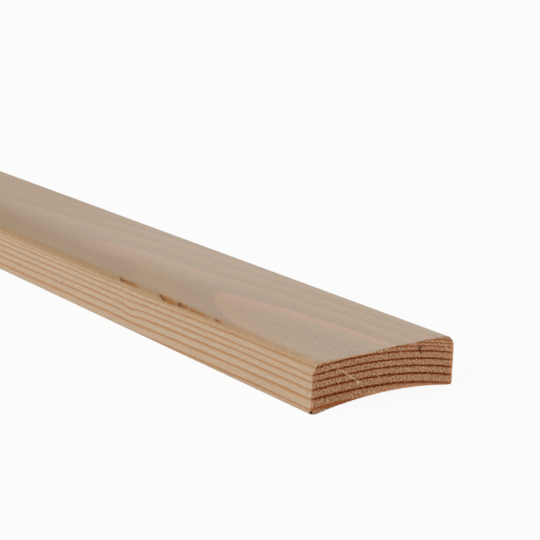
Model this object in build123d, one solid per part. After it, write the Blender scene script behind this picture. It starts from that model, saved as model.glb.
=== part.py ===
from build123d import *
import os

# Architrave moulding: one length of planed pine that frames a door or window.
# It lies face up on its hollow back, as it would on a level floor.
#
# Frame: +X runs along the length, +Y across the width, +Z from the back to the face.
# Origin: the middle of the length and width, at the level of the two back lands.
# All sizes are in millimetres.

LENGTH = 2200.0  # sold length, cut square at both ends
WIDTH = 42.0  # across the face, from edge to edge
THICKNESS = 12.0  # from the back lands to the face

FACE_ROUNDING = 2.5  # radius of the two arrises between the face and the edges
BACK_EASING = 0.4  # radius of the two arrises that meet the wall

HOLLOW_DEPTH = 1.7  # how far the middle of the back stands off a flat wall
LAND_WIDTH = 1.5  # flat strip left along each side of the hollow, easing included


def arc_radius(span, rise):
    """Radius of the circular arc that rises by `rise` over a chord of length `span`."""
    return (span**2 / 4 + rise**2) / (2 * rise)


def moulding_section():
    """The planed cross-section: a flat face with rounded arrises over a hollow back.

    Sketched on the YZ plane, so its own x is the width and its own y the thickness.
    """
    hollow_span = WIDTH - 2 * LAND_WIDTH
    hollow_radius = arc_radius(hollow_span, HOLLOW_DEPTH)

    with BuildSketch(Plane.YZ) as section:
        Rectangle(WIDTH, THICKNESS, align=(Align.CENTER, Align.MIN))

        back_corners = section.vertices().group_by(Axis.Y)[0]
        face_corners = section.vertices().group_by(Axis.Y)[-1]
        fillet(face_corners, radius=FACE_ROUNDING)
        fillet(back_corners, radius=BACK_EASING)

        # The back cutter leaves one shallow arc between the two lands.
        with Locations((0, HOLLOW_DEPTH - hollow_radius)):
            Circle(hollow_radius, mode=Mode.SUBTRACT)

    return section.sketch


def architrave():
    """The whole stock length: the section run both ways from the middle."""
    return extrude(moulding_section(), amount=LENGTH / 2, both=True)


def main():
    moulding = architrave()
    moulding.label = "architrave"

    os.makedirs("parts", exist_ok=True)
    export_step(moulding, "parts/architrave.step")

    size = moulding.bounding_box().size
    print(f"architrave {size.X:.1f} x {size.Y:.1f} x {size.Z:.1f} mm")
    print(f"section area {moulding.volume / LENGTH:.1f} mm2")


main()
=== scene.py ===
# %% [markdown]
# # A length of pine architrave
#
# An architrave is the plain board that frames a door. This one is 12 x 42 mm, planed,
# untreated, and cut from a pine log so that its growth rings run nearly level with the face.
# The solid model gives the board its size and place. This script gives it what the eye
# knows pine by: rings that agree on all its faces, a rough saw-cut end, soft arrises with
# a few torn spots, and the warm light that comes through thin wood at the rim of the cut,
# painted into its colour as a glow.
#
# Every step is one cell. Lengths are written in millimetres and turned to metres in one place.

# %% Load the solid model
import math

import bpy
import numpy as np
from mathutils import Matrix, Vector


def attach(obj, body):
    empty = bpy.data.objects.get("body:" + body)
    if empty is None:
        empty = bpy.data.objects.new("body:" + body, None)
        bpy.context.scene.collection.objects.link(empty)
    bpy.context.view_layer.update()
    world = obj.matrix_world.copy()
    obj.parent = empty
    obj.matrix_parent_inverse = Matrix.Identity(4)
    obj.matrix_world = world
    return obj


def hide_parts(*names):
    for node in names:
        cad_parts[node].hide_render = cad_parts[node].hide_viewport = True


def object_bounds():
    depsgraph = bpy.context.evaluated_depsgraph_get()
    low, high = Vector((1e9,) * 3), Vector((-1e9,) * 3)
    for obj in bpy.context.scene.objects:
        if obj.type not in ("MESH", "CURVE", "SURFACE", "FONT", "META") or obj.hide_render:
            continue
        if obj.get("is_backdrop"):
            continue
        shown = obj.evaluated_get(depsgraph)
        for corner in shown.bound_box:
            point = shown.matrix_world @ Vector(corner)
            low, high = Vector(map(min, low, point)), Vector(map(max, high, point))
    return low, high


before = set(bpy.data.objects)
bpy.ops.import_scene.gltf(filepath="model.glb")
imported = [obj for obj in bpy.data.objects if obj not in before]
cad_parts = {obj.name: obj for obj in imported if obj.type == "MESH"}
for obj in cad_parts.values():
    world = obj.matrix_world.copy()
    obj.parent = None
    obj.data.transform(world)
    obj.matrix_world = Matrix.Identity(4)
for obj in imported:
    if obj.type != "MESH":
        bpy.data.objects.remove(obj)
solid_low, solid_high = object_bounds()

MM = 0.001
LENGTH, WIDTH, THICKNESS = ((high - low) / MM for low, high in zip(solid_low, solid_high))
SHOWN_END = LENGTH / 2
print(f"solid: {LENGTH:.1f} x {WIDTH:.1f} x {THICKNESS:.1f} mm")

# %% [markdown]
# ## The camera
#
# A camera can be aimed with a constraint, by Euler angles, or by writing its three axes.
# The axes are clearest here, because the camera was slightly tilted to one side: a heading
# and a pitch give the level axes, and a roll turns two of them about the line of sight.
# The place is measured from the foot of the shown end, so it follows the board's length.

# %% Place the camera
CAMERA_FROM_END = (266.5, -231.8, 121.0)
CAMERA_HEADING = 143.33  # degrees from +X, seen from above
CAMERA_PITCH = -14.53
CAMERA_ROLL = 1.60
CAMERA_LENS = 108.3
SENSOR_WIDTH = 36.0


def camera_axes(heading, pitch, roll):
    """Right, up and forward of a camera.

    Heading and pitch give the level axes, and the roll then turns them about forward.
    """
    h, p, r = np.radians((heading, pitch, roll))
    forward = np.array([np.cos(p) * np.cos(h), np.cos(p) * np.sin(h), np.sin(p)])
    level_right = np.array([np.sin(h), -np.cos(h), 0.0])
    level_up = np.cross(level_right, forward)
    right = np.cos(r) * level_right + np.sin(r) * level_up
    up = np.cos(r) * level_up - np.sin(r) * level_right
    return right, up, forward


right, up, forward = camera_axes(CAMERA_HEADING, CAMERA_PITCH, CAMERA_ROLL)
place = MM * (np.array(CAMERA_FROM_END) + (SHOWN_END, 0, 0))
turn = np.eye(4)
turn[:3] = np.column_stack([right, up, -forward, place])

camera_data = bpy.data.cameras.new("camera")
camera_data.lens = CAMERA_LENS
camera_data.sensor_width = SENSOR_WIDTH
camera_data.clip_start = 0.01
camera = bpy.data.objects.new("camera", camera_data)
camera.matrix_world = Matrix(turn)
bpy.context.collection.objects.link(camera)
bpy.context.scene.camera = camera
print("camera at", np.round(place, 4), "m")

# %% [markdown]
# ## One helper for node trees
#
# A material is a graph. Instead of one function for each kind of node, a single function
# adds any node, sets its properties and default values by name, and links what is passed
# as a socket. Colours are written as the hex values that a paint program shows, and one
# function turns them to the linear values that light is added up in.


# %% Colour and node helpers
def linear(hex_colour):
    """sRGB hex to linear RGBA: a straight piece near black, and above it a power of 2.4."""
    srgb = np.array([int(hex_colour[i : i + 2], 16) for i in (1, 3, 5)]) / 255
    rgb = np.where(srgb <= 0.04045, srgb / 12.92, ((srgb + 0.055) / 1.055) ** 2.4)
    return (*rgb.tolist(), 1.0)


def add(tree, kind, inputs=(), stops=(), **settings):
    """Adds a node with its settings and fills its inputs.

    Inputs are a list in the order shown in the editor, or a dict by name. A node or a
    socket is linked, a hex colour is turned to linear, and any other value is set.
    Stops are the pairs of position and grey level of a colour ramp.
    """
    node = tree.nodes.new("ShaderNode" + kind)
    for name, value in settings.items():
        setattr(node, name, value)
    shown = [socket for socket in node.inputs if socket.enabled]
    by_name = {socket.name: socket for socket in reversed(shown)}
    pairs = inputs.items() if isinstance(inputs, dict) else enumerate(inputs)
    for key, value in pairs:
        socket = by_name[key] if isinstance(key, str) else shown[key]
        if isinstance(value, bpy.types.Node):
            value = next(output for output in value.outputs if output.enabled)
        if isinstance(value, bpy.types.NodeSocket):
            tree.links.new(value, socket)
        else:
            socket.default_value = linear(value) if isinstance(value, str) else value
    for i, (position, grey) in enumerate(stops):
        elements = node.color_ramp.elements
        stop = elements[i] if i < 2 else elements.new(position)
        stop.position = position
        stop.color = (grey, grey, grey, 1.0)
    return node


def new_tree(owner):
    """Switches a material or world to nodes and returns its empty tree."""
    owner.use_nodes = True
    owner.node_tree.nodes.clear()
    return owner.node_tree


# %% [markdown]
# ## A plain white studio
#
# The board lies on white and is lit softly from all round, so its own colours show. A white
# picture is easy to get wrong by adding light until the floor clips, because the wood clips
# next. Here the light stays at the level where a colour renders as it is written. The floor
# and the sky only look white: rays that come straight from the camera, or by way of a
# reflection, meet a plain white, and all other rays meet an ordinary pale surface.

# %% Build the floor, the sky and the lamps
FLOOR_HALF = 40.0  # metres, so that no view sees its edge
FLOOR_WHITE = "#f6f5f3"
SEEN_WHITE = 1.0
SHADOW_SHARE = 0.08  # how much of the floor's own shading shows to the camera
SKY_LIGHT = 0.46


def seen_directly(tree):
    """1 on a ray from the camera or by way of a mirror or glass, and 0 on any other."""
    path = add(tree, "LightPath").outputs
    mirrored = add(
        tree, "Math", [path["Is Glossy Ray"], path["Is Transmission Ray"]], operation="MAXIMUM"
    )
    return add(tree, "Math", [path["Is Camera Ray"], mirrored], operation="MAXIMUM")


floor_material = bpy.data.materials.new("white_paper_floor")
tree = new_tree(floor_material)
paper = add(tree, "BsdfDiffuse", {"Color": FLOOR_WHITE})
white = add(tree, "Emission", {"Color": (1, 1, 1, 1), "Strength": SEEN_WHITE})
share = add(tree, "Math", [seen_directly(tree), 1 - SHADOW_SHARE], operation="MULTIPLY")
add(tree, "OutputMaterial", {"Surface": add(tree, "MixShader", [share, paper, white])})

floor_mesh = bpy.data.meshes.new("floor")
corners = FLOOR_HALF * np.array([[-1, -1, 0], [1, -1, 0], [1, 1, 0], [-1, 1, 0]])
floor_mesh.from_pydata(corners.tolist(), [], [(0, 1, 2, 3)])
floor_mesh.materials.append(floor_material)
floor = bpy.data.objects.new("floor", floor_mesh)
bpy.context.collection.objects.link(floor)
floor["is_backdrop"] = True

world = bpy.data.worlds.new("soft_white_room")
bpy.context.scene.world = world
tree = new_tree(world)
sky = add(tree, "Background", {"Color": (1, 1, 1, 1), "Strength": SKY_LIGHT})
backdrop = add(tree, "Background", {"Color": (1, 1, 1, 1), "Strength": SEEN_WHITE})
both = add(tree, "MixShader", [seen_directly(tree), sky, backdrop])
add(tree, "OutputWorld", {"Surface": both})


def soft_box(name, towards, distance, size, watts, colour):
    """A square area lamp at a distance from the shown end, turned to face it."""
    towards = np.array(towards, float) / np.linalg.norm(towards)
    lamp_data = bpy.data.lights.new(name, "AREA")
    lamp_data.size = size
    lamp_data.energy = watts
    lamp_data.color = linear(colour)[:3]
    side = np.cross((0, 0, 1), towards)
    side /= np.linalg.norm(side)
    pose = np.eye(4)
    spot = towards * distance + (SHOWN_END * MM, 0, 0)
    pose[:3] = np.column_stack([side, np.cross(towards, side), towards, spot])
    lamp = bpy.data.objects.new(name, lamp_data)
    lamp.matrix_world = Matrix(pose)
    bpy.context.collection.objects.link(lamp)
    return lamp


soft_box("side_softbox", (-0.25, -0.95, 0.42), 4.0, 2.0, 77, "#fffaf6")
soft_box("end_softbox", (0.9, 0.15, 0.45), 4.0, 2.0, 35, "#fffaf4")

bpy.context.scene.view_settings.view_transform = "Standard"
print("studio: floor, sky and 2 soft boxes")

# %% [markdown]
# ## The section
#
# The board is one planed section carried along a straight line. Its outline could be a
# curve with a bevel, but a plain grid over the section does more: the outer border of the
# grid is the outline that the long faces follow, and the grid itself closes the cut ends.
# Both come from the same two lines, the face line above and the back line below, so their
# vertices meet exactly and the mesh has no seam.

# %% Set the sizes of the section
FACE_ROUNDING = 2.5
BACK_EASING = 0.4
HOLLOW_DEPTH = 1.7
LAND_WIDTH = 1.5

NEAR_ARRIS_STEPS, FACE_STEPS, FAR_ARRIS_STEPS = 12, 26, 8
EASING_STEPS, LAND_STEPS = 2, 2
EDGE_STEPS = 9
COLUMNS = NEAR_ARRIS_STEPS + FACE_STEPS + FAR_ARRIS_STEPS
HOLLOW_STEPS = COLUMNS - 2 * (EASING_STEPS + LAND_STEPS)
print("a cut end has", COLUMNS, "x", EDGE_STEPS, "cells")


# %% Draw the face line and the back line
def arc(centre, radius, start, end, steps):
    """Points on a circle from one angle to another, in degrees, without the last one."""
    angle = np.radians(np.linspace(start, end, steps + 1)[:-1])
    return np.column_stack([centre[0] + radius * np.cos(angle), centre[1] + radius * np.sin(angle)])


def straight(start, end, steps):
    """Evenly spaced points from start towards end, without the last one."""
    share = np.linspace(0, 1, steps + 1)[:-1, None]
    return (1 - share) * np.array(start) + share * np.array(end)


def hollow_height(y):
    """Height of the back's hollow: a circular arc between the two lands, and 0 outside it."""
    span = WIDTH - 2 * LAND_WIDTH
    radius = (span**2 / 4 + HOLLOW_DEPTH**2) / (2 * HOLLOW_DEPTH)
    inside = np.sqrt(np.maximum(radius**2 - np.square(y), 0)) - (radius - HOLLOW_DEPTH)
    return np.maximum(inside, 0)


def face_line(fine):
    """From the near edge over the near arris, the face and the far arris to the far edge."""
    r, half = FACE_ROUNDING, WIDTH / 2
    middle = THICKNESS - r
    return np.vstack(
        [
            arc((r - half, middle), r, 180, 90, NEAR_ARRIS_STEPS * fine),
            straight((r - half, THICKNESS), (half - r, THICKNESS), FACE_STEPS * fine),
            arc((half - r, middle), r, 90, 0, FAR_ARRIS_STEPS * fine),
            [[half, middle]],
        ]
    )


def back_line(fine):
    """From the near edge over easing, land and hollow, then land and easing, to the far edge."""
    r, half = BACK_EASING, WIDTH / 2
    hollow_half = half - LAND_WIDTH
    hollow = straight((-hollow_half, 0), (hollow_half, 0), HOLLOW_STEPS * fine)
    hollow[:, 1] = hollow_height(hollow[:, 0])
    return np.vstack(
        [
            arc((r - half, r), r, 180, 270, EASING_STEPS * fine),
            straight((r - half, 0), (-hollow_half, 0), LAND_STEPS * fine),
            hollow,
            straight((hollow_half, 0), (half - r, 0), LAND_STEPS * fine),
            arc((half - r, r), r, 270, 360, EASING_STEPS * fine),
            [[half, r]],
        ]
    )


def section_grid(fine):
    """A grid over the section: each column runs straight from the back line up to the face line."""
    share = np.linspace(0, 1, EDGE_STEPS * fine + 1)[None, :, None]
    return (1 - share) * back_line(fine)[:, None] + share * face_line(fine)[:, None]


def border(grid):
    """The rim of a grid as one closed loop: back, far edge, face, near edge."""
    return np.concatenate([grid[:-1, 0], grid[-1, :-1], grid[:0:-1, -1], grid[0, :0:-1]])


outline = border(section_grid(1))
print("outline:", len(outline), "points")

# %% [markdown]
# ## The growth rings
#
# Wood is a stack of cones. Every face of a board cuts the same cones, so the lines on the
# cut end, the stripes on the edge and the tongues on the face all follow from one function
# of place. That function is worked out here with numpy and stored on the mesh as a number
# for each vertex, and the material only draws what the number says. A wood texture that is
# painted on each face by itself would never meet at the arrises.
#
# The pith lies deep under the board. The height of a point above it, bent by the taper and
# the waves of the trunk, is looked up in the list of ring widths. A whole number is the
# outer edge of a year's dark latewood.

# %% Describe the rings
PITH_DEPTH = 112.0
# On the near side of their crown the low rings curve less than the high ones.
LOW_FLATNESS, HIGH_FLATNESS, FLAT_BELOW, FLAT_ABOVE = 0.57, 1.08, 7.0, 12.0
LINE_MIDDLES = (1.57, 3.93, 6.05, 7.85, 9.55, 11.33, 12.4, 13.2, 14.0, 14.9, 15.9)
LINE_HALF = 0.25
WIDE_RING, NARROW_RING = 2.3, 1.1
RINGS_BELOW, RINGS_ABOVE, RING_SEED = 8, 24, 11

# How far the rings have sunk at a distance from the shown end, and how fast beyond the list.
SINKING = (
    (0, 0.0), (25, 0.15), (50, 0.55), (75, 1.05),
    (100, 1.2), (140, 1.6), (180, 1.85), (300, 3.0),
)
SINKING_PER_METRE = 9.0
# How far the crown of the rings lies from the board's middle line.
CROWN = (
    (0, -8.8), (30, -8.9), (60, -7.0), (90, -5.7), (125, -6.2),
    (180, -8.5), (600, 5.0), (1400, -4.0), (2200, 2.0),
)
# Slow waves of the trunk, which start and are full at these distances from the shown end.
WAVES_FROM, WAVES_FULL = 250, 650
WAVE_HEIGHT, LONGEST_WAVE, SHORTEST_WAVE = 1.6, 900, 90

# The rings dip round a small knot that stays inside the wood.
DIP_FROM_END, DIP_HEIGHT, DIP_DEPTH = 76.0, 5.2, 0.6
DIP_HALF_LENGTH, DIP_HALF_HEIGHT, DIP_HALF_WIDTH = 3.4, 2.6, 9.0

# Slight swells of the rings under the face, which bend the tips of the tongues:
# distance from the shown end, place across, rise, half length, half width.
SWELLS = (
    (97.0, -9.0, 0.28, 11.0, 4.5),
    (81.0, -19.0, -0.25, 7.0, 4.0),
    (58.0, -4.5, -0.10, 8.0, 4.5),
    (36.0, 6.5, 0.15, 9.0, 3.0),
)
SWELLS_ABOVE, SWELLS_FULL = 8, 12  # heights
print(len(LINE_MIDDLES), "measured ring lines,", len(SWELLS), "swells and 1 dip")


# %% Work out the ring number of any point
def soft_step(x, low, high):
    """0 below low, 1 above high and 3s^2 - 2s^3 between them."""
    share = np.clip((x - low) / (high - low), 0, 1)
    return share**2 * (3 - 2 * share)


def smooth_line(x, pairs):
    """A smooth curve through a list of pairs.

    It is a cubic between two pairs, and at each pair it has the mean slope of its neighbours.
    """
    at, value = np.array(pairs, float).T
    slope = np.gradient(value, at)
    i = np.clip(np.searchsorted(at, x, side="right") - 1, 0, len(at) - 2)
    step = at[i + 1] - at[i]
    s = np.clip((x - at[i]) / step, 0, 1)
    bend = s * (1 - s) * step
    level = value[i] + (value[i + 1] - value[i]) * s**2 * (3 - 2 * s)
    return level + bend * ((1 - s) * slope[i] - s * slope[i + 1])


def waves(x, longest, shortest, seed, count=9):
    """A smooth random line: a sum of cosines of random phase, longer waves being higher."""
    random = np.random.default_rng(seed)
    length = np.geomspace(longest, shortest, count)
    phase = random.uniform(0, 2 * np.pi, count)
    height = length / longest
    wave = np.cos(2 * np.pi * np.asarray(x)[..., None] / length + phase)
    return (wave * height).sum(-1) / height.sum()


def ring_table():
    """Heights of the outer edges of the rings, and their numbers.

    The measured edges have wide rings below them and rings of seeded width above them.
    """
    random = np.random.default_rng(RING_SEED)
    measured = LINE_HALF + np.array(LINE_MIDDLES)
    below = measured[0] - WIDE_RING * np.arange(RINGS_BELOW, 0, -1)
    above = measured[-1] + np.cumsum(random.uniform(NARROW_RING, WIDE_RING, RINGS_ABOVE))
    edges = np.concatenate([below, measured, above])
    return edges, np.arange(len(edges)) - len(below) + 1


def ring_number(x, y, z):
    """Ring number at a point.

    It is the distance from the pith line less the pith's depth, looked up in the ring table.
    """
    from_end = SHOWN_END - x
    past_table = np.maximum(from_end - SINKING[-1][0], 0)
    sunk = smooth_line(from_end, SINKING) + SINKING_PER_METRE * MM * past_table
    waving = np.clip((from_end - WAVES_FROM) / (WAVES_FULL - WAVES_FROM), 0, 1)
    sunk = sunk + WAVE_HEIGHT * waving * waves(from_end, LONGEST_WAVE, SHORTEST_WAVE, seed=3)
    dip = DIP_DEPTH * np.exp(
        -(((from_end - DIP_FROM_END) / DIP_HALF_LENGTH) ** 2)
        - ((z - DIP_HEIGHT) / DIP_HALF_HEIGHT) ** 2
        - ((y + WIDTH / 2) / DIP_HALF_WIDTH) ** 2
    )
    swell = sum(
        rise * np.exp(-(((from_end - at) / half_length) ** 2) - ((y - across) / half_width) ** 2)
        for at, across, rise, half_length, half_width in SWELLS
    )
    sunk = sunk + swell * soft_step(z, SWELLS_ABOVE, SWELLS_FULL)
    aside = y - smooth_line(from_end, CROWN)
    upper = soft_step(z, FLAT_BELOW, FLAT_ABOVE)
    flatness = LOW_FLATNESS + (HIGH_FLATNESS - LOW_FLATNESS) * upper
    aside = np.where(aside < 0, flatness * aside, aside)
    height = np.hypot(aside, z + sunk + dip + PITH_DEPTH) - PITH_DEPTH
    edges, numbers = ring_table()
    return np.interp(height, edges, numbers)


for y in (-20.0, 0.0, 20.0):
    rings = ring_number(SHOWN_END, y, np.array([1.0, 11.0]))
    print(f"rings on the cut end at y = {y:.0f} mm: {np.round(rings, 2)}")

# %% [markdown]
# ## Torn spots along the near arris
#
# The plane has torn a few short fibres out of one front arris. They are real dents here,
# so that they show in the outline and in a plain grey render, and not only as brown paint.
# Each is a short flake with a steep head and a tail that runs out. The same formula gives
# the darkness that the material draws in them: brown torn wood, a little dirt along the
# lower border, and painted shade on the steep head.

# %% Describe the tears
# Each: distance of its head and of its tail from the shown end, lowest and highest angle
# up the arris in degrees, how far the head leans towards the end at its foot, depth, darkness.
TEARS = (
    (86.0, 73.0, 55, 92, 3.0, 0.24, 1.0),
    (67.0, 55.5, 46, 90, 4.4, 0.30, 0.95),
    (57.6, 50.0, 54, 88, 1.4, 0.24, 1.0),
    (51.5, 39.5, 55, 80, 1.0, 0.08, 0.6),
    (41.5, 36.4, 58, 84, 1.6, 0.18, 0.8),
)
TEAR_BORDER = 0.2  # share of a tear's height that is rounded off at its two borders
HEAD_DROP, HEAD_WALL = 0.5, 1.9  # length of a head's steep wall and of the painted shade on it
TAIL_FROM = 0.35  # share of a tear's length from which it runs out
LOWER_DIRT, LOWER_DIRT_HALF = 0.45, 0.35  # dirt along the lower border: strength, share

# The same arris is rubbed a little flatter than an arc, most of all at the cut.
WORN_MIDDLE, WORN_HALF = 1.6, 1.5  # measured round the arris
WORN_AT_CUT, WORN_ALONG, WORN_REACH = 0.6, 0.2, 12.0
FAR_AROUND = 99.0  # given to the back and its edges, which no mark of the arris reaches


def along_arris(loop):
    """Distance round the outline from the foot of the near arris.

    It is negative below the foot, and past the top of the arris it goes on along the face.
    """
    centre = np.array([FACE_ROUNDING - WIDTH / 2, THICKNESS - FACE_ROUNDING])
    y, z = (loop - centre).T
    on_arc = FACE_ROUNDING * np.arctan2(z, -y)
    past_top = FACE_ROUNDING * np.pi / 2 + y
    around = np.where(y > 0, past_top, np.where(z < 0, z, on_arc))
    return np.where(z < -FACE_ROUNDING - 1, FAR_AROUND, around)


def tear_marks(from_end, around):
    """Depth and darkness of the tears.

    Each is a flake: steep at its slanting head, shallower towards its tail, and rounded off
    at its upper and lower border. It is darkest along the head, where painted shade lies on
    the steep wall, and dirt lies along its lower border.
    """
    depth = np.zeros(np.broadcast(from_end, around).shape)
    dark = np.zeros_like(depth)
    for head, tail, low, high, lean, deep, darkness in TEARS:
        low, high = FACE_ROUNDING * math.radians(low), FACE_ROUNDING * math.radians(high)
        rise = (around - low) / (high - low)
        behind = head - lean * (1 - rise) - from_end
        share = behind / (head - tail)
        inside = soft_step(rise, 0, TEAR_BORDER) * soft_step(rise, 1, 1 - TEAR_BORDER)
        inside = inside * soft_step(behind, 0, HEAD_DROP) * soft_step(share, 1, TAIL_FROM)
        # Painted shade on the steep wall of the head, and dirt along the lower border.
        shade_and_dirt = np.exp(-((behind / HEAD_WALL) ** 2))
        shade_and_dirt = shade_and_dirt + LOWER_DIRT * np.exp(-((rise / LOWER_DIRT_HALF) ** 2))
        depth = np.maximum(depth, deep * inside * (1 - 0.5 * share))
        dark = np.maximum(dark, darkness * inside * np.clip(0.5 + 0.5 * shade_and_dirt, 0, 1))
    return depth, dark


def wear(from_end, around):
    """How far the near arris is rubbed off: a bell round its middle, deepest at the cut."""
    bell = np.exp(-(((around - WORN_MIDDLE) / WORN_HALF) ** 2))
    return bell * (WORN_ALONG + (WORN_AT_CUT - WORN_ALONG) * np.exp(-from_end / WORN_REACH))


print(len(TEARS), "tears, the deepest", max(deep for *_, deep, _ in TEARS), "mm")

# %% [markdown]
# ## The long faces
#
# The outline is carried along the board through a row of stations. They stand 0.4 mm apart
# near the shown end, where the tears and the ring waves are fine, and 8 mm apart far from
# it. A planed board isn't a perfect prism: the vertices are moved inwards, by tenths of a
# millimetre in the tears and on the worn arris, and by hundredths in the slow ripple that
# the planer's knives leave.

# %% Carry the outline along the board
SHOWN_LENGTH = 245.0  # of the board, that the camera sees
# Distance from the shown end to which each step holds.
STEPS = ((90.0, 0.4), (SHOWN_LENGTH, 1.0), (LENGTH, 8.0))
CUT_RIM = 0.8  # the last station stands this far from the cut
RIPPLE = 0.012  # height of the planer's ripple
RIPPLE_LENGTH = 3.2


def stations():
    """Places along X, from the far end to the rim of the shown cut, closest near the cut."""
    from_end = [np.array([CUT_RIM])]
    for until, step in STEPS:
        start = from_end[-1][-1]
        from_end.append(np.linspace(start, until, round((until - start) / step) + 1)[1:])
    return SHOWN_END - np.concatenate(from_end)[::-1]


def inward(loop):
    """Unit normals of a closed loop that point into the section.

    Each is the chord from one neighbour of the point to the other, turned left.
    """
    chord = np.roll(loop, -1, 0) - np.roll(loop, 1, 0)
    chord /= np.linalg.norm(chord, axis=1, keepdims=True)
    return np.column_stack([-chord[:, 1], chord[:, 0]])


x_at = stations()
around = along_arris(outline)
tear_depth, _ = tear_marks(SHOWN_END - x_at[:, None], around[None])
ripple = RIPPLE * (0.5 + 0.5 * np.cos(2 * np.pi * x_at / RIPPLE_LENGTH))
# Past the shown length the stations stand too far apart to carry the ripple.
ripple[x_at < SHOWN_END - SHOWN_LENGTH] = 0
push = tear_depth + ripple[:, None] + wear(SHOWN_END - x_at[:, None], around[None])
loop_in = inward(outline)

skin = np.empty((len(x_at), len(outline), 3))
skin[..., 0] = x_at[:, None]
skin[..., 1:] = outline[None] + push[..., None] * loop_in[None]
print("long faces:", skin.shape[0], "stations x", skin.shape[1], "points")

# %% [markdown]
# ## The shown cut
#
# A saw leaves a fuzzy surface: hard latewood lines stand up, soft earlywood is crushed, and
# single teeth score straight lines. The end is a fine grid, eight cells for each cell of the
# outline, pushed inwards by small depths. Its rim is ragged, where fibres broke away.

# %% Describe the marks on the cut
CUT_FINE = 8
CUT_ROUGHNESS, TUFT_CELL = 0.09, 0.45  # depth and width
LATEWOOD_STANDS, EARLYWOOD_UNTIL = 0.035, 0.7  # height, and share of a year
RAGGED_RIM, RAGGED_CELL, RAGGED_REACH = 0.3, 0.7, 0.25
TORN_FROM, TORN_FULL = 6, 11  # heights between which the rim gets more ragged

# Straight scores of the saw teeth on the shown cut: from, to, half width, paleness.
SCORES = (
    ((-15.8, 11.0), (-12.8, 9.0), 0.12, 0.45),
    ((-12.9, 9.1), (-8.3, 6.0), 0.13, 0.75),
    ((-7.9, 5.6), (-7.6, 5.4), 0.3, 0.9),
    ((-19.9, 7.6), (-19.3, 7.0), 0.13, 0.5),
    ((-2.4, 6.4), (-1.6, 5.4), 0.12, 0.5),
    ((0.5, 7.9), (1.6, 8.9), 0.12, 0.5),
    ((4.2, 11.6), (4.9, 9.8), 0.12, 0.5),
    ((16.7, 11.3), (18.2, 10.5), 0.12, 0.4),
    ((17.8, 10.9), (19.2, 8.6), 0.16, 0.5),
)
SCORE_DEPTH, SCORE_CELL = 0.03, 0.7
# A small forked crack: from, to, half width.
CRACKS = (((10.0, 11.0), (10.9, 9.1), 0.24), ((10.5, 10.3), (11.2, 10.9), 0.2))
CRACK_DEPTH = 0.2
NICK_AT, NICK_RADIUS, NICK_DEPTH = (-20.9, 0.4), 0.6, 0.4
LATTICE_SIDE, LATTICE_SHIFT = 256, 100


def lattice_noise(y, z, cell, seed):
    """Value noise from 0 to 1.

    Random values on a square lattice are blended by 3s^2 - 2s^3 between its corners.
    """
    random = np.random.default_rng(seed)
    values = random.random((LATTICE_SIDE, LATTICE_SIDE))
    u, v = y / cell + LATTICE_SHIFT, z / cell + LATTICE_SHIFT
    i, j = np.floor(u).astype(int), np.floor(v).astype(int)
    s, t = u - i, v - j
    s, t = s * s * (3 - 2 * s), t * t * (3 - 2 * t)
    i, j, next_i, next_j = (index % LATTICE_SIDE for index in (i, j, i + 1, j + 1))
    low = values[i, j] * (1 - s) + values[next_i, j] * s
    high = values[i, next_j] * (1 - s) + values[next_i, next_j] * s
    return low * (1 - t) + high * t


def stroke(y, z, start, end, half_width):
    """1 on a straight stroke and 0 beside it.

    It is exp(-(d / half width)^2), where d is the distance from the segment.
    """
    start, end = np.array(start), np.array(end)
    run = end - start
    share = np.clip(((y - start[0]) * run[0] + (z - start[1]) * run[1]) / (run @ run), 0, 1)
    distance = np.hypot(y - start[0] - share * run[0], z - start[1] - share * run[1])
    return np.exp(-((distance / half_width) ** 2))


print("marks on the cut:", len(SCORES), "scores,", len(CRACKS), "strokes of a crack and 1 nick")

# %% Shape the cut end
cut = section_grid(CUT_FINE)
# The border ends with the face, from far to near, and the near edge, from top to bottom.
near_edge_count = cut.shape[1] - 1
face_part = slice(1 - near_edge_count - len(cut), 1 - near_edge_count)
face_in = inward(border(cut))[face_part][::-1]
worn = wear(0.0, along_arris(cut[:, -1]))[:, None] * face_in
# The wear fades from the face line down to the back line.
cut += np.linspace(0, 1, cut.shape[1])[None, :, None] ** 2 * worn[:, None]
cut_y, cut_z = cut[..., 0], cut[..., 1]
in_year = ring_number(np.full_like(cut_y, SHOWN_END), cut_y, cut_z) % 1

score = np.zeros_like(cut_y)
sunk = CUT_ROUGHNESS * lattice_noise(cut_y, cut_z, TUFT_CELL, seed=5)
sunk += LATEWOOD_STANDS * np.clip(1 - in_year / EARLYWOOD_UNTIL, 0, 1)
for start, end, half_width, paleness in SCORES:
    mark = stroke(cut_y, cut_z, start, end, half_width)
    score = np.maximum(score, paleness * mark)
    sunk += SCORE_DEPTH * mark
score *= 0.7 + 0.5 * lattice_noise(cut_y, cut_z, SCORE_CELL, seed=6)
crack = np.zeros_like(cut_y)
for start, end, half_width in CRACKS:
    crack = np.maximum(crack, stroke(cut_y, cut_z, start, end, half_width))
sunk += CRACK_DEPTH * crack
nick = np.exp(-((np.hypot(cut_y - NICK_AT[0], cut_z - NICK_AT[1]) / NICK_RADIUS) ** 2))
sunk += NICK_DEPTH * nick

from_near, from_far = cut_y + WIDTH / 2, WIDTH / 2 - cut_y
from_back = cut_z - np.interp(cut_y, *back_line(1).T)
from_top = np.interp(cut_y, *cut[:, -1].T) - cut_z
from_rim = np.minimum.reduce([from_near, from_far, from_back, from_top])
tearing = soft_step(cut_z, TORN_FROM, TORN_FULL)
ragged = RAGGED_RIM * lattice_noise(cut_y, cut_z, RAGGED_CELL, seed=8) ** 2
sunk += ragged * np.exp(-from_rim / RAGGED_REACH) * (0.3 + 0.7 * tearing)

cut_end = np.empty((*cut_y.shape, 3))
cut_end[..., 0] = SHOWN_END - sunk
cut_end[..., 1:] = cut
print(f"shown cut: {len(cut)} x {cut.shape[1]} points, deepest {sunk.max():.2f} mm")

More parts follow.
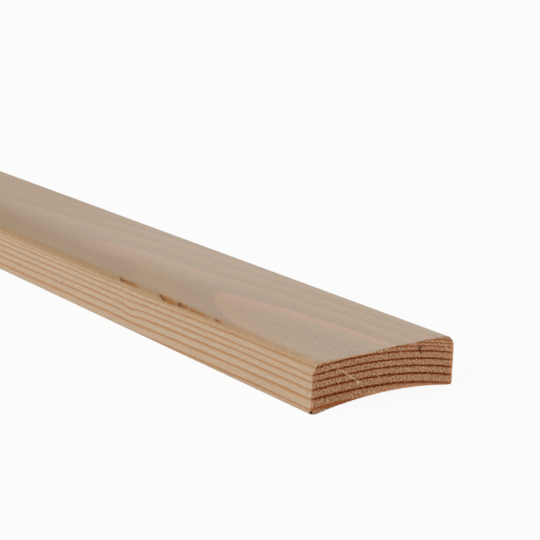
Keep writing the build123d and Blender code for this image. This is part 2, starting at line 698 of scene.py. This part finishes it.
# %% [markdown]
# ## One closed mesh
#
# The long faces, the shown cut and the plain far cut become one mesh. Near the shown end
# the cut has eight rim vertices for each vertex of the outline, so a belt of faces with many
# sides joins them: two corners on the last station and nine on the rim. All index tables
# are whole arrays. The vertices are numbered station by station, then the two cuts.

# %% Join the faces
RAGGED_BITE, NICK_BITE = 0.4, 0.5  # shares of the depths

loop_count = len(outline)
station_count = len(x_at)
far_grid = section_grid(1)
far_end = np.empty((*far_grid.shape[:2], 3))
far_end[..., 0] = -LENGTH / 2
far_end[..., 1:] = far_grid


def grid_quads(ids):
    """Four-sided faces over a grid of vertex numbers, in the order that faces +X on a cut."""
    return np.stack([ids[:-1, :-1], ids[1:, :-1], ids[1:, 1:], ids[:-1, 1:]], -1).reshape(-1, 4)


skin_ids = np.arange(station_count * loop_count).reshape(station_count, loop_count)
loop_ids = np.column_stack([skin_ids, skin_ids[:, 0]])
long_quads = np.stack(
    [loop_ids[:-1, :-1], loop_ids[:-1, 1:], loop_ids[1:, 1:], loop_ids[1:, :-1]], -1
).reshape(-1, 4)

cut_ids = skin_ids.size + np.arange(cut_y.size).reshape(cut_y.shape)
cut_quads = grid_quads(cut_ids)

rim_ids = border(cut_ids)
rim_ids = np.append(rim_ids, rim_ids[0])
starts = CUT_FINE * np.arange(loop_count)
belt = np.column_stack(
    [loop_ids[-1, :-1], loop_ids[-1, 1:]] + [rim_ids[starts + k] for k in range(CUT_FINE, -1, -1)]
)

far_ids = cut_ids.max() + 1 + np.arange(far_grid[..., 0].size).reshape(far_grid.shape[:2])
far_rim = border(far_ids)
far_quads = grid_quads(far_ids)[:, ::-1]

points = np.concatenate([skin.reshape(-1, 3), cut_end.reshape(-1, 3), far_end.reshape(-1, 3)])
# Where the rim is ragged or nicked, its outline has bites too.
bite = (RAGGED_BITE * tearing * ragged + NICK_BITE * NICK_DEPTH * nick).ravel()
points[rim_ids[:-1], 1:] += bite[rim_ids[:-1] - skin_ids.size, None] * inward(border(cut))

# The far cut's rim uses the first station's vertices, so that the mesh is closed there.
same_vertex = np.arange(len(points))
same_vertex[far_rim] = skin_ids[0]
faces = [same_vertex[long_quads], same_vertex[cut_quads], belt, same_vertex[far_quads]]
print("faces:", [len(f) for f in faces])

# %% [markdown]
# ## What the material needs to know
#
# A few numbers are stored on the vertices: the ring number, whether a place lies on the
# face or the back, a painted glow at the rims of the cut and its painted lighter far side,
# the darkness of the tears with painted shade on their heads, painted shade in the crack
# and the nick, the darker upper rim of the cut, the pale scores and frayed rim, where the
# planed wood has gone ochre, and where the face is browner. The faces of the mesh are then
# given to two finishes: the planed long faces and the sawn ends.

# %% Work out the numbers for each point
OCHRE_FROM, OCHRE_FULL = 10.0, 55.0  # distances from the shown end
OCHRE_MIDDLE, OCHRE_HALF = FACE_ROUNDING * math.radians(66), 1.5  # measured round the arris
NEAR_BROWN, NEAR_BROWN_FROM, NEAR_BROWN_FULL = 0.68, 0.0, 95.0
FAR_BROWN, FAR_BROWN_FROM, FAR_BROWN_FULL = 0.3, 100.0, 190.0
FACE_SKIN, BROWN_SKIN, BACK_SKIN = 0.5, 1.2, 0.25  # how far a finish reaches round an arris
GLOW_REACH, GLOW_CELL, NEAR_GLOW = 0.6, 0.8, 0.35
DARK_RIM, DARK_CELL, DARK_UNTIL = 0.16, 0.6, 19.0  # height, width of a spot, place across
FRAYED_RIM, FRAYED_FROM = 0.3, 3.0  # height, and where it starts round the arris


def on_cut_only(values):
    """One number for each point of the mesh: the given ones on the shown cut and 0 elsewhere."""
    return np.concatenate([np.zeros(skin_ids.size), values.ravel(), np.zeros(far_ids.size)])


from_end = SHOWN_END - points[:, 0]
point_y, point_z = points[:, 1:].T
point_around = along_arris(points[:, 1:])
on_arris = np.exp(-(((point_around - OCHRE_MIDDLE) / OCHRE_HALF) ** 2))
brown = NEAR_BROWN * soft_step(-point_y, -2, 14)
brown *= soft_step(from_end, NEAR_BROWN_FROM, NEAR_BROWN_FULL)
brown += FAR_BROWN * soft_step(from_end, FAR_BROWN_FROM, FAR_BROWN_FULL)
on_face = soft_step(point_z, THICKNESS - FACE_SKIN, THICKNESS)
on_back = np.exp(-(((point_z - hollow_height(point_y)) / BACK_SKIN) ** 2))

# Light comes through the thin wood at the low rim and at both upright rims of the cut, and this
# glow is painted into the colour.
to_light = np.maximum(np.minimum(from_far, 1.3 * from_back), 0)
painted_glow = 0.55 + 0.45 * lattice_noise(cut_y, cut_z, GLOW_CELL, seed=21)
painted_glow *= soft_step(cut_y, -14, 0) * np.exp(-to_light / GLOW_REACH)
painted_near_glow = NEAR_GLOW * np.exp(-from_near / GLOW_REACH)
# The upper rim is dark on its far half and frayed pale on its near half.
dark_rim = 0.8 * lattice_noise(cut_y, cut_z, DARK_CELL, seed=22)
dark_rim *= soft_step(cut_y, -6, 2) * (cut_y < DARK_UNTIL)
dark_rim *= np.exp(-((from_top / DARK_RIM) ** 2))
frayed_rim = 0.5 * np.exp(-((from_top / FRAYED_RIM) ** 4)) * soft_step(-cut_y, -2, 6)
frayed_rim *= along_arris(cut.reshape(-1, 2)).reshape(cut_y.shape) > FRAYED_FROM
# Painted shade in the crack and the nick, and the darker upper rim.
cut_dark = np.maximum.reduce([1.1 * crack, 1.4 * nick, dark_rim])

marks = {
    "ring": ring_number(*points.T),
    "flat": np.maximum(on_face, on_back),
    "ochre": on_arris * (0.5 + 0.5 * soft_step(from_end, OCHRE_FROM, OCHRE_FULL)),
    "browner_face": brown * soft_step(point_z, THICKNESS - BROWN_SKIN, THICKNESS),
    # Painted light: a warm glow where light comes through the thin wood at the rims.
    "painted_glow": on_cut_only(np.maximum(painted_glow, painted_near_glow)),
    # Painted light: the cut is lighter towards its far edge, where more light falls.
    "painted_light": on_cut_only(soft_step(cut_y, -8, 12)),
    "pale": on_cut_only(np.maximum(score, frayed_rim)),
    "shade_and_dirt": np.maximum(tear_marks(from_end, point_around)[1], on_cut_only(cut_dark)),
}
for key, values in marks.items():
    print(f"{key}: {values.min():.2f} to {values.max():.2f}")


# %% Make the mesh and store the numbers on it
SHARP_ANGLE = 50  # degrees


def put_mesh(name, points, faces, marks):
    """Makes a mesh object from points in millimetres, tables of faces and numbers for each point.

    Points that no face uses are left out.
    """
    used = np.zeros(len(points), bool)
    for table in faces:
        used[table] = True
    renumber = np.cumsum(used) - 1
    loops = np.concatenate([renumber[table].ravel() for table in faces])
    sides = np.concatenate([np.full(len(table), table.shape[1]) for table in faces])
    mesh = bpy.data.meshes.new(name)
    mesh.vertices.add(int(used.sum()))
    mesh.vertices.foreach_set("co", (points[used] * MM).astype(np.float32).ravel())
    mesh.loops.add(len(loops))
    mesh.loops.foreach_set("vertex_index", loops.astype(np.int32))
    mesh.polygons.add(len(sides))
    mesh.polygons.foreach_set("loop_start", (np.cumsum(sides) - sides).astype(np.int32))
    for key, values in marks.items():
        attribute = mesh.attributes.new(key, "FLOAT", "POINT")
        attribute.data.foreach_set("value", values[used].astype(np.float32))
    mesh.update(calc_edges=True)
    mesh.validate()
    thing = bpy.data.objects.new(name, mesh)
    bpy.context.collection.objects.link(thing)
    return thing


board = put_mesh("planed_pine_board", points, faces, marks)
# The long faces and the belt are planed, and the two cuts are sawn.
is_sawn = np.repeat([0, 1, 0, 1], [len(table) for table in faces])
board.data.shade_smooth()
board.data.set_sharp_from_angle(angle=math.radians(SHARP_ANGLE))
print("board:", len(board.data.vertices), "vertices,", len(board.data.polygons), "faces")

# %% [markdown]
# ## A place for every face on one square picture
#
# Other programs show a finish as a picture wrapped on the mesh, so each face needs its own
# place on a square. An automatic layout gives a board this long about half a pixel per
# millimetre, and the cut would be a blur. Here the cut and the shown length get most of the
# square. The rest of the length is squeezed along the grain, where wood hardly changes.

# %% Lay the faces out on the square
SIDE_MARGIN = 0.01
# Bands of the long faces: the two distances from the shown end between which each lies,
# and its lowest and highest place on the square.
SKIN_BANDS = ((LENGTH, SHOWN_LENGTH, 0.01, 0.26), (SHOWN_LENGTH, 0.0, 0.275, 0.695))
BELT_BAND = (0.705, 0.715)
# Boxes for the cuts: lowest and highest place along both sides of the square.
SHOWN_CUT_BOX = ((0.01, 0.84), (0.73, 0.985))
FAR_CUT_BOX = ((0.86, 0.985), (0.73, 0.78))


def spread(values, low, high):
    """The same numbers moved and scaled, so that the least lies at low and the greatest at high."""
    return low + (high - low) * (values - values.min()) / np.ptp(values)


step_length = np.linalg.norm(np.roll(outline, -1, 0) - outline, axis=1)
girth = np.append(0, np.cumsum(step_length))
row, column = (index.ravel() for index in np.indices((station_count - 1, loop_count)))
corner_row = row[:, None] + [0, 0, 1, 1]
corner_column = column[:, None] + [0, 1, 1, 0]
middle = SHOWN_END - (x_at[row] + x_at[row + 1]) / 2

skin_uv = np.empty((len(row), 4, 2))
for start, end, low, high in SKIN_BANDS:
    band = (middle < start) & (middle > end)
    skin_uv[band, :, 0] = spread(x_at[corner_row[band]], SIDE_MARGIN, 1 - SIDE_MARGIN)
    skin_uv[band, :, 1] = spread(-girth[corner_column[band]], low, high)

belt_share = np.concatenate([[0, 1], np.linspace(1, 0, CUT_FINE + 1)])
belt_uv = np.empty((*belt.shape, 2))
belt_uv[..., 0] = girth[:-1, None] + step_length[:, None] * belt_share
belt_uv[..., 0] = spread(belt_uv[..., 0], SIDE_MARGIN, 1 - SIDE_MARGIN)
belt_uv[:, :2, 1], belt_uv[:, 2:, 1] = BELT_BAND

cut_uv = section_grid(CUT_FINE).reshape(-1, 2)[cut_quads - cut_ids[0, 0]]
far_uv = far_grid.reshape(-1, 2)[far_quads - far_ids[0, 0]] * (-1, 1)
for uv, box in ((cut_uv, SHOWN_CUT_BOX), (far_uv, FAR_CUT_BOX)):
    for side, (low, high) in enumerate(box):
        uv[..., side] = spread(uv[..., side], low, high)

# The corners follow the order of the faces in the mesh.
layout = np.concatenate([uv.reshape(-1, 2) for uv in (skin_uv, cut_uv, belt_uv, far_uv)])
layer = board.data.uv_layers.new(name="OFBake")
layer.uv.foreach_set("vector", layout.astype(np.float32).ravel())
print("layout:", len(layout), "corners on the square")

# %% [markdown]
# ## What both finishes share
#
# The wood is Scots pine or the like: pale spongy earlywood that turns, within each year, to
# a thin hard line of orange-brown latewood. Both finishes start from the ring number on the
# mesh. It is shifted a little by a noise drawn out along the grain, because no ring is quite
# smooth. Its fraction is the time of year: 0 in spring, and just under 1 in late summer.

# %% Start a pine material
RING_WANDER = 0.05  # of a year
WOOD_IOR = 1.5
RAMP_RINGS = 20.0  # ring number at the right end of the ramps that follow it


def grain(tree, *cells, seed, detail=2.0, lean=0.0):
    """Noise from 0 to 1 with cells of the given millimetres along x, y and z.

    The cells lean over by an angle about x, and each seed gives another part of the noise.
    """
    place = add(tree, "TexCoord").outputs["Object"]
    leaning = add(tree, "Mapping", {"Vector": place, "Rotation": (math.radians(lean), 0, 0)})
    scale = [1 / (size * MM) for size in cells]
    laid = add(tree, "Mapping", {"Vector": leaning, "Location": (seed, seed, seed), "Scale": scale})
    return add(tree, "TexNoise", {"Vector": laid, "Scale": 1.0, "Detail": detail})


def start_pine(name):
    """A new material, its tree, the numbers of the mesh, the ring number and the time of year."""
    pine = bpy.data.materials.new(name)
    tree = new_tree(pine)
    number = {key: add(tree, "Attribute", attribute_name=key).outputs["Fac"] for key in marks}
    uneven = grain(tree, 14, 0.6, 0.6, seed=1)
    wander = add(tree, "MapRange", [uneven, 0.3, 0.7, -RING_WANDER, RING_WANDER])
    ring = add(tree, "Math", [number["ring"], wander], operation="ADD")
    year = add(tree, "Math", [ring], operation="FRACT")
    return pine, tree, number, ring, year


# %% [markdown]
# ## Planed pine
#
# On the long faces the fibres lie flat and the planer's knives have left them nearly smooth,
# so they have a soft sheen. A wave texture could draw stripes there, but it knows nothing of
# the rings. A colour ramp over the time of year does: it rises slowly towards the end of
# summer and drops at once where winter stopped the growth.

# %% Colour the edges
EARLYWOOD, SAPWOOD, LATEWOOD = "#c3a483", "#c1aa8e", "#b07c44"

planed_pine, tree, number, ring, year = start_pine("scots_pine_planed")
late_line = add(
    tree,
    "ValToRGB",
    [year],
    stops=((0.0, 0.0), (1.0, 0.0), (0.5, 0.0), (0.72, 0.45), (0.82, 1.0), (0.96, 0.95)),
)
# The lines of the later years are paler.
strength = add(
    tree,
    "ValToRGB",
    [add(tree, "Math", [ring, RAMP_RINGS], operation="DIVIDE")],
    stops=((0.0, 1.0), (1.0, 0.6), (0.3, 1.0), (0.32, 0.75), (0.36, 0.8), (0.6, 0.7)),
)
line = add(tree, "Math", [late_line, strength], operation="MULTIPLY")
fibres = grain(tree, 9, 0.16, 0.16, seed=2)
fine_fibre = add(tree, "MapRange", [fibres, 0.3, 0.7, 0.0, 1.0])
streaks = grain(tree, 90, 1.6, 1.6, seed=3)
broad_streak = add(tree, "MapRange", [streaks, 0.35, 0.65, 0.0, 1.0])
pale = add(tree, "Mix", [broad_streak, EARLYWOOD, SAPWOOD], data_type="RGBA")
edge_wood = add(tree, "Mix", [line, pale, LATEWOOD], data_type="RGBA")
print("wood of the edges:", len(tree.nodes), "nodes")

# %% Colour the face and the back, and add the ochre arris and the browner face
FACE_PINK, FACE_MAUVE = "#d4ab8d", "#ae8f7b"
OCHRE, FACE_BROWN = "#ab8657", "#ab8c67"
OPEN_UNTIL = 7  # number of the last ring with open pores

# On the face and the back the plane has met each ring at a few degrees only, so its line is
# a soft pink band, and the year that starts behind it is dull for some way.
dull = add(
    tree,
    "ValToRGB",
    [year],
    stops=((0.0, 0.0), (1.0, 0.0), (0.04, 0.45), (0.3, 0.4), (0.6, 0.0)),
)
thin_line = add(
    tree,
    "ValToRGB",
    [year],
    stops=((0.0, 0.3), (1.0, 0.3), (0.03, 0.0), (0.7, 0.0), (0.88, 0.7), (0.97, 0.8)),
)
# After the last open year both are fainter.
fading = add(tree, "MapRange", [ring, OPEN_UNTIL, OPEN_UNTIL + 1, 1.0, 0.55])
thin_line = add(tree, "Math", [thin_line, fading], operation="MULTIPLY")
face_wood = add(tree, "Mix", [thin_line, pale, FACE_PINK], data_type="RGBA")

planed = add(tree, "Mix", [number["flat"], edge_wood, face_wood], data_type="RGBA")
# The face is browner on its near half and further from the shown end.
planed = add(tree, "Mix", [number["browner_face"], planed, FACE_BROWN], data_type="RGBA")
duller = add(tree, "MapRange", [number["browner_face"], 0.0, 0.5, 0.8, 1.3])
for share in (duller, fading, number["flat"]):
    dull = add(tree, "Math", [dull, share], operation="MULTIPLY")
planed = add(tree, "Mix", [dull, planed, FACE_MAUVE], data_type="RGBA")
planed = add(tree, "Mix", [number["ochre"], planed, OCHRE], data_type="RGBA")
blur = grain(tree, 1.6, 0.5, 0.5, seed=9, detail=1.0)
fuzz = add(tree, "MapRange", [blur, 0.3, 0.7, 0.92, 1.08])
shade = add(tree, "MapRange", [fine_fibre, 0.0, 1.0, 0.9, 1.03])
shade = add(tree, "Math", [shade, fuzz], operation="MULTIPLY")
planed = add(tree, "Mix", [1.0, planed, shade], data_type="RGBA", blend_type="MULTIPLY")
print("with the face, the back and the fibres:", len(tree.nodes), "nodes")

# %% Add the pores
PORE_BROWN = "#86643f"

# The pores are short dark dashes. The year that the face shows at the cut grew fast, and
# its pores are open. The later years and the edges show fewer.
open_year = add(tree, "MapRange", [ring, OPEN_UNTIL - 0.1, OPEN_UNTIL + 0.1, 1.0, 0.3])
early_part = add(tree, "MapRange", [year, 0.5, 0.7, 1.0, 0.3])
openness = add(tree, "Math", [open_year, number["flat"]], operation="MULTIPLY")
openness = add(tree, "Math", [openness, early_part], operation="MULTIPLY")
openness = add(tree, "MapRange", [openness, 0.0, 1.0, 0.25, 1.0])
dashes = grain(tree, 0.8, 0.4, 0.4, seed=7, detail=3.0)
pores = add(tree, "MapRange", [dashes, 0.5, 0.32, 0.0, 0.5])
pores = add(tree, "Math", [pores, openness], operation="MULTIPLY")
planed = add(tree, "Mix", [pores, planed, PORE_BROWN], data_type="RGBA")
print("with the pores:", len(tree.nodes), "nodes")

# %% [markdown]
# ## Tears, specks and sheen
#
# In the tears the wood is brown and rough, with painted shade along their steep heads.
# Painting them by hand would leave marks beside the dents, so the colour follows the number
# that also shaped them, with its border frayed along the grain. The bump raises the hard
# latewood and the fibres by hundredths of a millimetre, and the browner wood of the face has
# less sheen.

# %% Finish the planed faces
TEAR_BROWN, SHADE_AND_DIRT_BROWN = "#9f6b37", "#4a2710"
FIBRE_HEIGHT = 0.02
BROWNER_FACE_ROUGHNESS, TORN_ROUGHNESS = 0.62, 0.85
# Small dark specks in the planed wood: distance from the shown end, across, height, radius.
SPECKS = (
    (1.5, -WIDTH / 2, 4.7, 0.34),
    (28.7, -9.4, THICKNESS, 0.4),
    (25.8, -3.0, THICKNESS, 0.35),
    (20.1, -11.8, THICKNESS, 0.4),
    (18.7, -14.1, THICKNESS, 0.35),
    (16.1, -7.6, THICKNESS, 0.35),
)
frayed = grain(tree, 3, 0.3, 0.3, seed=8)
frayed = add(tree, "MapRange", [frayed, 0.3, 0.7, -0.12, 0.12])
torn_number = add(tree, "Math", [number["shade_and_dirt"], frayed], operation="ADD")
torn = add(tree, "MapRange", [torn_number, 0.12, 0.42, 0.0, 1.0])
# The darkest brown is painted shade on the steep heads of the tears; the specks below are real dark
# spots.
shade_and_dirt_share = add(tree, "MapRange", [torn_number, 0.55, 1.0, 0.0, 0.8])
own_place = add(tree, "TexCoord").outputs["Object"]
for away, y, z, radius in SPECKS:
    spot = MM * np.array([SHOWN_END - away, y, z])
    gap = add(tree, "VectorMath", [own_place, spot.tolist()], operation="DISTANCE").outputs["Value"]
    speck = add(tree, "MapRange", [gap, 0.3 * radius * MM, radius * MM, 0.6, 0.0])
    shade_and_dirt_share = add(tree, "Math", [shade_and_dirt_share, speck], operation="MAXIMUM")
planed = add(tree, "Mix", [torn, planed, TEAR_BROWN], data_type="RGBA")
planed = add(tree, "Mix", [shade_and_dirt_share, planed, SHADE_AND_DIRT_BROWN], data_type="RGBA")

faint_fibre = add(tree, "Math", [fine_fibre, 0.5], operation="MULTIPLY")
planed_height = add(tree, "Math", [line, faint_fibre], operation="ADD")
bump = add(tree, "Bump", {"Height": planed_height, "Distance": FIBRE_HEIGHT * MM, "Strength": 1.0})
sheen = add(tree, "MapRange", [fine_fibre, 0.0, 1.0, 0.36, 0.44])
sheen = add(tree, "Mix", [number["browner_face"], sheen, BROWNER_FACE_ROUGHNESS])
sheen = add(tree, "Mix", [torn, sheen, TORN_ROUGHNESS])
shader = add(
    tree,
    "BsdfPrincipled",
    {"Base Color": planed, "Roughness": sheen, "IOR": WOOD_IOR, "Normal": bump},
)
add(tree, "OutputMaterial", {"Surface": shader})
board.data.materials.append(planed_pine)
print("material:", planed_pine.name, len(tree.nodes), "nodes")

# %% [markdown]
# ## Sawn end grain
#
# Fibres that are cut across swallow light between them, so the sawn end has hardly any
# gloss, and its latewood is a deep red-brown. The torn fibre ends stand up as pale specks
# beside dark holes. Single fibres are about 0.05 mm wide, too fine to show, so the specks
# are drawn at 0.3 to 0.6 mm, the size of the tufts that the fibres stick together in.

# %% Draw the patterns of the end grain
SCORE_LEAN = 35.0  # degrees from level at which the saw teeth crossed the wood

sawn_pine, tree, number, ring, year = start_pine("scots_pine_sawn_end_grain")
ragged_line = grain(tree, 1, 0.35, 0.35, seed=5)
ragged_line = add(tree, "MapRange", [ragged_line, 0.3, 0.7, -0.08, 0.08])
ragged_ring = add(tree, "Math", [ring, ragged_line], operation="ADD")
year = add(tree, "Math", [ragged_ring], operation="FRACT")
fringe = add(
    tree,
    "ValToRGB",
    [year],
    stops=((0.0, 0.9), (1.0, 0.9), (0.08, 0.0), (0.54, 0.0), (0.7, 0.3), (0.8, 0.9)),
)
late_on_cut = add(
    tree,
    "ValToRGB",
    [year],
    stops=((0.0, 0.0), (1.0, 0.0), (0.72, 0.0), (0.83, 0.9), (0.93, 1.0), (0.97, 0.5)),
)
# The first line lies so near the hollow that it is worn pale, and the last ones are thin.
cut_strength = add(
    tree,
    "ValToRGB",
    [add(tree, "Math", [ring, RAMP_RINGS], operation="DIVIDE")],
    stops=(
        (0.0, 0.35), (1.0, 0.5), (0.051, 0.35),
        (0.06, 1.0), (0.25, 1.0), (0.3, 0.8), (0.33, 0.5),
    ),
)
late_on_cut = add(tree, "Math", [late_on_cut, cut_strength], operation="MULTIPLY")
tufts = grain(tree, 1, 0.6, 0.32, seed=4, detail=1.0, lean=SCORE_LEAN)
holes = grain(tree, 1, 0.34, 0.34, seed=6, detail=1.0)
pale_tufts = add(tree, "MapRange", [tufts, 0.5, 0.64, 0.0, 0.8])
dark_holes = add(tree, "MapRange", [holes, 0.5, 0.36, 0.0, 0.85])
# Painted shade in the crack and the nick, and a darker upper rim, in one dark brown.
shade_and_dirt_share = add(tree, "MapRange", [number["shade_and_dirt"], 0.2, 1.0, 0.0, 1.0])
print("patterns of the end grain:", len(tree.nodes), "nodes")

# %% Colour and wire the sawn ends
END_EARLY, END_PAINTED_LIGHT, END_LATE, LATE_FRINGE = "#bc8864", "#ca946e", "#581d00", "#bd672f"
TUFT_PALE, TUFT_DARK = "#e6c4a2", "#55300f"
PAINTED_RIM_GLOW, SCORE_PALE, CUT_DARK_BROWN = "#eba978", "#efcfa4", "#3a1c0a"
SAWN_SPECULAR = 0.12
TUFT_HEIGHT = 0.1

# The cut is painted lighter towards its far edge, and a warm glow is painted at its rims; both
# stand in for light.
sawn = add(tree, "Mix", [number["painted_light"], END_EARLY, END_PAINTED_LIGHT], data_type="RGBA")
for share, colour in (
    (pale_tufts, TUFT_PALE),
    (fringe, LATE_FRINGE),
    (dark_holes, TUFT_DARK),
    (late_on_cut, END_LATE),
    (number["painted_glow"], PAINTED_RIM_GLOW),
    (number["pale"], SCORE_PALE),
    (shade_and_dirt_share, CUT_DARK_BROWN),
):
    sawn = add(tree, "Mix", [share, sawn, colour], data_type="RGBA")
rough = add(tree, "MapRange", [tufts, 0.3, 0.7, 0.92, 0.8])
rugged = add(tree, "Math", [tufts, holes], operation="ADD")
bump = add(tree, "Bump", {"Height": rugged, "Distance": TUFT_HEIGHT * MM, "Strength": 1.0})
shader = add(
    tree,
    "BsdfPrincipled",
    {
        "Base Color": sawn,
        "Roughness": rough,
        "IOR": WOOD_IOR,
        "Specular IOR Level": SAWN_SPECULAR,
        "Normal": bump,
    },
)
add(tree, "OutputMaterial", {"Surface": shader})
board.data.materials.append(sawn_pine)
board.data.polygons.foreach_set("material_index", is_sawn.astype(np.int32))
print("material:", sawn_pine.name, len(tree.nodes), "nodes")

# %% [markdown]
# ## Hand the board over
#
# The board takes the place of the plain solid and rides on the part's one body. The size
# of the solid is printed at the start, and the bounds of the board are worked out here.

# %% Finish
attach(board, "root")
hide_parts("architrave")

low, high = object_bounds()
